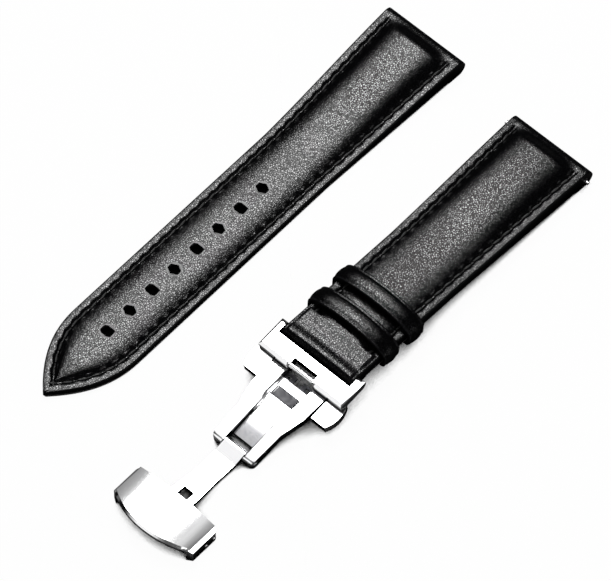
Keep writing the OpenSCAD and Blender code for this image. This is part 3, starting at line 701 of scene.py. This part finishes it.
def topHeight(strap, x, y):
    # height of the outer side at x from the watch end and y across
    shape = strapShape
    w = halfWidth(strap, x)
    stretch = slopeFactor(strap, x)
    d = (w - abs(y)) / stretch
    height = edgeHeight(strap, x)
    r = shape["edgeRound"]
    if d < r:
        height -= r - math.sqrt(max(0.0, r * r - (r - d) ** 2))
    ends = smoothStep((x - shape["seamFade"]) / shape["seamFade"])
    if "flapFrom" in strap:
        ends *= smoothStep((strap["flapFrom"] - x) / shape["seamFlap"])
        height += flapHeight(strap, x, d)
    ridge = shape["ridge"] * bell(d, shape["ridgeAt"], shape["ridgeWide"])
    drawn = shape["troughWide"] + shape["pull"] * math.cos(2 * math.pi * x / shape["stitchPitch"])
    trough = shape["trough"] * bell(d, shape["troughAt"], drawn)
    height += (ridge - trough) * ends
    inner = w - shape["rim"] * stretch
    if inner > 0 and abs(y) < inner:
        k = abs(y) / inner
        narrow = min(1.0, inner / shape["crownNarrow"])
        height += crownHeight(strap, x) * narrow * (1 - k ** shape["crownPower"])
    return height


sectionRows = {
    "wall": (0.0, 0.5),
    "edge": (0, 15, 30, 45, 60, 75, 90),
    "top": (0.9, 1.05, 1.2, 1.35, 1.5, 1.65, 1.8, 1.95, 2.1, 2.25, 2.4, 2.55, 2.7, 2.9, 3.1),
    "crown": (0.95, 0.89, 0.82, 0.75, 0.67, 0.58, 0.48, 0.37, 0.25, 0.12),
}
baseRow = (-0.75, -0.5, -0.25, 0.0, 0.25, 0.5, 0.75)


def stations():
    # places round the section: walls, rounded edges, stitched rim, crown, and the flat underside
    left = [(kind, value) for kind, values in sectionRows.items() for value in values]
    row = [(kind, value, 1) for kind, value in left] + [("crown", 0.0, 1)]
    row += [(kind, value, -1) for kind, value in reversed(left)]
    row += [("base", t, 1) for t in baseRow]
    return row + [row[0]]


def sectionPoint(strap, x, station):
    kind, value, side = station
    shape = strapShape
    w = halfWidth(strap, x)
    stretch = slopeFactor(strap, x)
    low = underside(strap, x)
    r = min(shape["edgeRound"], shape["roundShare"] * w)
    high = edgeHeight(strap, x)
    squeeze = min(1.0, w / (shape["rim"] * stretch + shape["squeezeRoom"]))
    if kind == "base":
        return value * w, low
    if kind == "wall":
        return side * w, low + value * (high - r - low)
    if kind == "edge":
        d = r * (1 - math.cos(math.radians(value)))
        y = w - d * squeeze
        return side * y, high - r + r * math.sin(math.radians(value))
    if kind == "top":
        y = max(0.0, w - value * stretch * squeeze)
    else:
        y = value * max(0.0, w - shape["rim"] * stretch * squeeze)
    return side * y, topHeight(strap, x, y)


def underside(strap, x):
    # the lining lies below the outer leather, apart from the ends that turn over
    start, run = strapShape["liningIn"], strapShape["liningRun"]
    low = strapShape["lining"] * smoothStep((x - start) / run)
    if strap["name"] == "short":
        low *= smoothStep((strap["length"] - x - start) / run)
    return low


def lengthRows(strap):
    # dense where an end turns over, even along the body
    step, turn = strapShape["step"], strapShape["turnStep"]
    half = strapShape["edgeWatch"] / 2
    rows = [half * (1 - math.cos(math.radians(a))) for a in range(0, 90, turn)]
    last = strap["length"]
    if strap["point"]:
        tip = [last - t for t in strap["tipRows"]]
    else:
        barEnd = strap["farEdge"] / 2
        tip = [last - barEnd * (1 - math.cos(math.radians(a)))
               for a in range(90 - turn, -1, -turn)]
    count = int((tip[0] - rows[-1]) / step)
    rows += [rows[-1] + (tip[0] - rows[-1]) * i / count for i in range(1, count)]
    return rows + tip


def ringedGrid(rows, columns, shapeOf):
    # a grid whose last column meets its first: shapeOf gives the place of row i, column j
    bm = bmesh.new()
    bmesh.ops.create_grid(bm, x_segments=rows - 1, y_segments=columns - 1, size=1)
    for vert in bm.verts:
        i = round((vert.co.x + 1) / 2 * (rows - 1))
        j = round((vert.co.y + 1) / 2 * (columns - 1))
        vert.co = shapeOf(i, j)
    return bm


def toRowFrame(strap, start):
    # from the strap's own section, in mm, to its place on the table, in metres
    turn = Matrix.Rotation(math.radians(strap["tilt"]), 4, "Y")
    drop = Vector((0, 0, strap.get("drop", 0.0) / perMetre))
    return Matrix.Translation(Vector(start) + drop) @ turn @ Matrix.Scale(1 / perMetre, 4)


def endRound(strap, x, z):
    # the watch end, and the short strap's clasp end, turn over a bar
    ends = [(x, strapShape["edgeWatch"] / 2)]
    if not strap["point"]:
        ends.append((strap["length"] - x, strap["farEdge"] / 2))
    for fromEnd, middle in ends:
        if fromEnd < middle:
            t = max(0.0, fromEnd / middle)
            z = middle + (z - middle) * math.sqrt(max(0.0, 1 - (1 - t) ** 2))
    return z


def makeStrap(strap, start, leather):
    shape = strapShape
    rows, row = lengthRows(strap), stations()

    def shapeOf(i, j):
        x = rows[i]
        y, z = sectionPoint(strap, x, row[j])
        return Vector((-x, y, endRound(strap, x, z)))

    bm = ringedGrid(len(rows), len(row), shapeOf)
    bmesh.ops.remove_doubles(bm, verts=bm.verts, dist=shape["mergeWithin"])
    bmesh.ops.recalc_face_normals(bm, faces=bm.faces)
    paint = bm.verts.layers.float.new("paint")
    edge = bm.verts.layers.float.new("edge")
    for vert in bm.verts:
        x, y = -vert.co.x, vert.co.y
        d = (halfWidth(strap, x) - abs(y)) / slopeFactor(strap, x)
        vert[paint] = 1 - smoothStep((d - shape["paintFrom"]) / shape["paintRun"])
        vert[edge] = bell(d, shape["wearAndHighlightAt"], shape["wearAndHighlightWide"])
    bmesh.ops.transform(bm, matrix=toRowFrame(strap, start), verts=bm.verts)
    return newObject(strap["name"] + "Leather", bm, [leather], smooth=True)


liningShape = {
    "in": 5.3, "tailIn": 0.4, "sideIn": 0.02, "rows": 160, "columns": 25, "squareness": 0.25,
}


def makeLiningStrip(strap, start, material):
    shape = liningShape
    first = shape["in"]
    last = strap["length"] - (shape["tailIn"] if strap["point"] else first)
    half = strapShape["lining"] / 2

    def squared(v):
        return math.copysign(abs(v) ** shape["squareness"], v)

    def shapeOf(i, j):
        # a flat strip with rounded edges
        x = first + (last - first) * i / (shape["rows"] - 1)
        w = halfWidth(strap, x) - shape["sideIn"]
        t = j / (shape["columns"] - 1)
        angle = 2 * math.pi * t
        return Vector((-x, w * squared(math.cos(angle)), half + half * squared(math.sin(angle))))

    bm = ringedGrid(shape["rows"], shape["columns"], shapeOf)
    bmesh.ops.remove_doubles(bm, verts=bm.verts, dist=strapShape["mergeWithin"])
    bmesh.ops.holes_fill(bm, edges=[e for e in bm.edges if e.is_boundary], sides=0)
    bmesh.ops.recalc_face_normals(bm, faces=bm.faces)
    bmesh.ops.transform(bm, matrix=toRowFrame(strap, start), verts=bm.verts)
    return newObject(strap["name"] + "LiningStrip", bm, [material], smooth=True)


def seamY(strap, x):
    return halfWidth(strap, x) - strapShape["seam"] * slopeFactor(strap, x)


def seamPlaces(strap):
    # stitch starts along the seam, with the seam's direction there
    places, x = [], strap["seamFrom"]
    ahead = strapShape["seamAhead"]
    while x < strap["seamTo"]:
        y = seamY(strap, x)
        slope = (seamY(strap, x + ahead) - y) / ahead
        if y < strapShape["seamLeast"]:
            break
        places.append((x, y, slope))
        x += strapShape["stitchPitch"] / math.sqrt(1 + slope * slope)
    return places


stitchShape = {"around": 10, "along": 8, "wide": 1.15, "high": 0.8, "slant": 6, "rise": 0.35}


def makeStitches(strap, start, material):
    bm = bmesh.new()
    shape = stitchShape
    length, radius = strapShape["stitchLength"], strapShape["thread"]
    for side in (1, -1):
        for x, y, slope in seamPlaces(strap):
            run = length / math.sqrt(1 + slope * slope)
            a = Vector((-x, side * y, topHeight(strap, x, y)))
            bx, by = x + run, y + slope * run
            b = Vector((-bx, side * by, topHeight(strap, bx, by)))
            made = bmesh.ops.create_uvsphere(bm, u_segments=shape["around"],
                                             v_segments=shape["along"], radius=1.0)["verts"]
            size = (radius * shape["wide"], radius * shape["high"], length / 2)
            bmesh.ops.scale(bm, vec=size, verts=made)
            turn = (b - a).to_track_quat("Z", "Y").to_matrix()
            slant = Matrix.Rotation(math.radians(shape["slant"] * side), 3, "Z")
            bmesh.ops.rotate(bm, cent=(0, 0, 0), matrix=slant @ turn, verts=made)
            middle = (a + b) / 2 + Vector((0, 0, radius * shape["rise"]))
            bmesh.ops.translate(bm, vec=middle, verts=made)
    bmesh.ops.transform(bm, matrix=toRowFrame(strap, start), verts=bm.verts)
    return newObject(strap["name"] + "Stitches", bm, [material], smooth=True)


punch = {"segments": 40, "depth": 12, "middle": 1.5}


def punchHoles(obj, strap, start):
    # a round cutter goes through each hole's place
    bm = bmesh.new()
    radius = strap["holeWide"] / 2
    for i in range(strap["holes"]):
        made = bmesh.ops.create_cone(bm, cap_ends=True, segments=punch["segments"],
                                     radius1=radius, radius2=radius,
                                     depth=punch["depth"])["verts"]
        at = (-strap["firstHole"] - i * strap["holePitch"], 0, punch["middle"])
        bmesh.ops.translate(bm, vec=at, verts=made)
    bmesh.ops.transform(bm, matrix=toRowFrame(strap, start), verts=bm.verts)
    cutter = newObject("holeCutter", bm, [])
    cut = obj.modifiers.new("holes", "BOOLEAN")
    cut.operation = "DIFFERENCE"
    cut.solver = "EXACT"
    cut.object = cutter
    shown = obj.evaluated_get(bpy.context.evaluated_depsgraph_get())
    mesh = bpy.data.meshes.new_from_object(shown)
    obj.modifiers.clear()
    obj.data = mesh
    bpy.data.objects.remove(cutter)


def middleY(node):
    low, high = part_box(node)
    return (low.y + high.y) / 2


longY = middleY("long_lining")
shortY = middleY("short_lining")
longStart = (longStrap["watchEndX"], longY, 0.0)
shortStart = (shortStrap["watchEndX"], shortY, 0.0)
holeRims = makeHoleRims(longStart[0] - longStrap["firstHole"] / perMetre, longStrap["holePitch"],
                        longStrap["holes"], longY, longStrap["holeWide"] / 2)
holedLeather = makeLeather("holedLeather", leatherLook, holeRims)
blackLeather = makeLeather("blackLeather", leatherLook)
keeperLeather = makeLeather("keeperLeather", {**leatherLook, "rough": 0.28})

longLeather = makeStrap(longStrap, longStart, holedLeather)
punchHoles(longLeather, longStrap, longStart)
longLining = makeLiningStrip(longStrap, longStart, liningLeather)
punchHoles(longLining, longStrap, longStart)
longStitches = makeStitches(longStrap, longStart, waxedThread)
shortLeather = makeStrap(shortStrap, shortStart, blackLeather)
shortLining = makeLiningStrip(shortStrap, shortStart, liningLeather)
shortStitches = makeStitches(shortStrap, shortStart, waxedThread)

for piece, slotName, replaced in (
        (longLeather, "black_leather", ("long_top_leather", "long_padding")),
        (longLining, "lining_leather", ("long_lining",)),
        (longStitches, "black_thread", ("long_stitching",)),
        (shortLeather, "black_leather", ("short_top_leather", "short_padding")),
        (shortLining, "lining_leather", ("short_lining",)),
        (shortStitches, "black_thread", ("short_stitching",))):
    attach(piece, "straps")
    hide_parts(*replaced)
print("straps made")


keeperShape = {
    "inside": 10.45, "top": 5.3, "thick": 1.0, "wide": 4.9, "shoulder": 2.2, "archStep": 5,
    # the band's corners below, where its underside starts
    "cornerUp": 0.4, "cornerShare": 0.7, "cornerIn": 0.5, "flat": 4,
    # half of the section, as distance from the edge and height: a rounded lip, a creased line
    "lip": [(0.15, 0.0), (0, 0.18), (0, 0.45), (0.1, 0.62), (0.3, 0.72), (0.5, 0.73),
            (0.68, 0.66), (0.9, 0.74), (1.3, 0.87), (1.9, 0.97)],
    "paintFrom": 0.05, "paintRun": 0.25, "wearAndHighlightAt": 0.4, "wearAndHighlightWide": 0.2, "levels": 2,
}
keepers = {
    "fixedKeeper": {"at": 65.6, "gap": 0.02, "node": "fixed_keeper", "body": "straps"},
    "slidingKeeper": {"at": 57.7, "gap": 0.3, "node": "sliding_keeper", "body": "loose_keeper"},
}


def bandPath(gap, grow):
    # the loop that a keeper follows round the strap, grown outwards by its thickness
    shape = keeperShape
    inside, shoulder = shape["inside"], shape["shoulder"]
    path = []
    for a in range(0, 181, shape["archStep"]):
        c, s = math.cos(math.radians(a)), math.sin(math.radians(a))
        path.append(((inside + grow) * c, shoulder + (shape["top"] - shoulder + grow) * s))
    cut = grow * shape["cornerShare"]
    turn = [(inside + grow, shape["cornerUp"] - gap), (inside + cut, -gap - cut),
            (inside - shape["cornerIn"], -gap - grow), (shape["flat"], -gap - grow),
            (0, -gap - grow)]
    path += [(-y, z) for y, z in turn[:-1]] + [turn[-1]] + list(reversed(turn[:-1]))
    return path + [path[0]]


def keeperSection():
    # a flat band with a low crown
    half = keeperShape["wide"] / 2
    section = [(-half + inset, up) for inset, up in keeperShape["lip"]]
    mirrored = [(-a, b) for a, b in reversed(section)]
    return section + [(0.0, keeperShape["thick"])] + mirrored + [section[0]]


def makeKeeper(name, values, material):
    shape = keeperShape
    section = keeperSection()
    loops = [bandPath(values["gap"], grow) for _, grow in section]

    def shapeOf(i, j):
        y, z = loops[j][i]
        return Vector((section[j][0] - values["at"], y, z))

    bm = ringedGrid(len(loops[0]), len(section), shapeOf)
    bmesh.ops.remove_doubles(bm, verts=bm.verts, dist=strapShape["mergeWithin"])
    bmesh.ops.recalc_face_normals(bm, faces=bm.faces)
    paint = bm.verts.layers.float.new("paint")
    edge = bm.verts.layers.float.new("edge")
    half = shape["wide"] / 2
    for vert in bm.verts:
        fromEdge = half - abs(vert.co.x + values["at"])
        vert[paint] = 1 - smoothStep((fromEdge - shape["paintFrom"]) / shape["paintRun"])
        vert[edge] = bell(fromEdge, shape["wearAndHighlightAt"], shape["wearAndHighlightWide"])
    bmesh.ops.transform(bm, matrix=toRowFrame(shortStrap, shortStart), verts=bm.verts)
    band = newObject(name, bm, [material], smooth=True)
    soft = band.modifiers.new("soft", "SUBSURF")
    soft.levels = shape["levels"]
    soft.render_levels = shape["levels"]
    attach(band, values["body"])
    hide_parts(values["node"])


for keeperName, keeperValues in keepers.items():
    makeKeeper(keeperName, keeperValues, keeperLeather)
print("keepers made")


breaking = {
    # how far a face looks up, level, to the front or aside, and half of the sunk tongue's width
    "up": 0.9, "level": 0.3, "front": -0.7, "aside": 0.9, "pastTongue": 2.9,
    "mergeWithin": 0.002, "flatAngle": 0.3, "sharpAngle": 32, "shadeAngle": 34, "segments": 2,
}


def topEdges(bm, chosen):
    # edges between a top face and a wall that chosen picks by the edge's middle and the wall
    found = []
    for edge in bm.edges:
        if len(edge.link_faces) != 2:
            continue
        top, wall = (face.normal for face in edge.link_faces)
        if top.z < wall.z:
            top, wall = wall, top
        middle = (edge.verts[0].co + edge.verts[1].co) / 2
        if top.z > breaking["up"] and abs(wall.z) < breaking["level"] and chosen(middle, wall):
            found.append(edge)
    return found


def facesFront(middle, wall):
    return wall.x < breaking["front"]


def facesInwards(middle, wall):
    aside = middle.y - shortY * perMetre
    inwards = abs(wall.y) > breaking["aside"] and wall.y * aside < 0
    return inwards and abs(aside) > breaking["pastTongue"]


def isSharp(edge, angle):
    return len(edge.link_faces) == 2 and edge.calc_face_angle(0) > math.radians(angle)


def dressedSteel(node, lip, chamfer, chosen, body):
    # a copy of the solid with its doubles merged and its edges broken, as polished parts have
    bm = bmesh.new()
    bm.from_mesh(nodes[node].data)
    bmesh.ops.scale(bm, vec=(perMetre,) * 3, verts=bm.verts)
    bmesh.ops.remove_doubles(bm, verts=bm.verts, dist=breaking["mergeWithin"])
    bmesh.ops.dissolve_limit(bm, angle_limit=math.radians(breaking["flatAngle"]),
                             verts=bm.verts, edges=bm.edges)
    if chamfer:
        bmesh.ops.bevel(bm, geom=topEdges(bm, chosen), offset=chamfer, offset_type="OFFSET",
                        segments=1, profile=0.5, affect="EDGES", clamp_overlap=False,
                        material=-1)
    sharp = [edge for edge in bm.edges if isSharp(edge, breaking["sharpAngle"])]
    bmesh.ops.bevel(bm, geom=sharp, offset=lip, offset_type="OFFSET",
                    segments=breaking["segments"], profile=0.5, affect="EDGES",
                    clamp_overlap=True, material=-1)
    for edge in bm.edges:
        edge.smooth = not isSharp(edge, breaking["shadeAngle"])
    bmesh.ops.scale(bm, vec=(1 / perMetre,) * 3, verts=bm.verts)
    piece = newObject(node + "_dressed", bm, [polishedSteel], smooth=True)
    even = piece.modifiers.new("even", "WEIGHTED_NORMAL")
    even.keep_sharp = True
    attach(piece, body)
    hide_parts(node)
    return piece


dressed = {
    # broken edges and chamfer in mm, where the chamfer goes, body
    "lug_plate": (0.16, 0.8, facesFront, "clasp_frame"),
    "fork_blade": (0.12, 0.22, facesInwards, "clasp_frame"),
    "catch_bar": (0.1, 0, facesFront, "clasp_frame"),
    "pusher_left": (0.18, 0, facesFront, "push_left"),
    "pusher_right": (0.18, 0, facesFront, "push_right"),
    "link_blade": (0.1, 0, facesFront, "link"),
    "bridge_cover": (0.14, 0.5, facesFront, "bridge"),
}
pieces = {nodeName: dressedSteel(nodeName, *values) for nodeName, values in dressed.items()}

tongue = {
    # along x from the clasp's spring bar, in mm
    "bar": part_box("lug_bar_tube"), "kink": 19.2, "half": 2.95, "recess": (10.0, 12.7),
    # areas in square metres of the faces at the recess's bottom
    "recessArea": (2e-6, 1.6e-5),
    # how far faces look up, and across and up on the near arm's inner edge, which gets a painted
    # shadow line
    "up": 0.8, "armAcross": 0.4, "armUp": 0.3,
    "brushedShadedSlot": 1, "recessAndShadowSlot": 2,
}


def finishTongue(blade, values):
    # the lower tongue is brushed and painted a shaded grey, the bare recess is dark, and the near
    # arm's inner edge gets a painted shadow line
    low, high = values["bar"]
    barX, middle = (low.x + high.x) / 2, (low.y + high.y) / 2
    nearest, farthest = values["recess"]
    smallest, largest = values["recessArea"]
    mesh = blade.data
    mesh.materials.append(brushedShadedSteel)
    mesh.materials.append(recessAndShadowSteel)
    count = 0
    for face in mesh.polygons:
        across, up = face.normal.y, face.normal.z
        away = (barX - face.center.x) * perMetre
        aside = (face.center.y - middle) * perMetre
        # painted shadow line on the near arm's inner edge
        if aside < -values["half"] and across > values["armAcross"] and up > values["armUp"]:
            face.material_index = values["recessAndShadowSlot"]
        if abs(aside) > values["half"] or up < values["up"]:
            continue
        if away > values["kink"]:
            face.material_index = values["brushedShadedSlot"]
        elif nearest < away < farthest and smallest < face.area < largest:
            face.material_index = values["recessAndShadowSlot"]
            count += 1
    print("recess faces:", count)


def plainFinish(nodeName):
    if "spring" in nodeName:
        return springWire
    # the latch plates get near black steel: painted shade under the catch bar
    return burnishedSteel if "latch" in nodeName else satinSteel


finishTongue(pieces["fork_blade"], tongue)
for nodeName, obj in nodes.items():
    if nodeName in dressed or obj.hide_render:
        continue
    obj.data.materials.clear()
    obj.data.materials.append(plainFinish(nodeName))


pinHeads = {
    # node: radius and rise in metres, body
    "bridge_pin": (0.0005, 0.0002, "bridge"),
    "strap_bar": (0.0005, 0.0002, "bridge"),
    "hinge_pin": (0.0006, 0.00015, "clasp_frame"),
}
headSegments = (24, 12)


def makePinHeads(node, radius, rise, body):
    low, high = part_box(node)
    around, along = headSegments
    bm = bmesh.new()
    for y in (low.y, high.y):
        head = bmesh.ops.create_uvsphere(bm, u_segments=around, v_segments=along,
                                         radius=1.0)["verts"]
        bmesh.ops.scale(bm, vec=(radius, rise, radius), verts=head)
        middle = ((low.x + high.x) / 2, y, (low.z + high.z) / 2)
        bmesh.ops.translate(bm, vec=middle, verts=head)
    heads = newObject(node + "_heads", bm, [satinSteel], smooth=True)
    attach(heads, body)


for nodeName, values in pinHeads.items():
    makePinHeads(nodeName, *values)
print("clasp dressed")
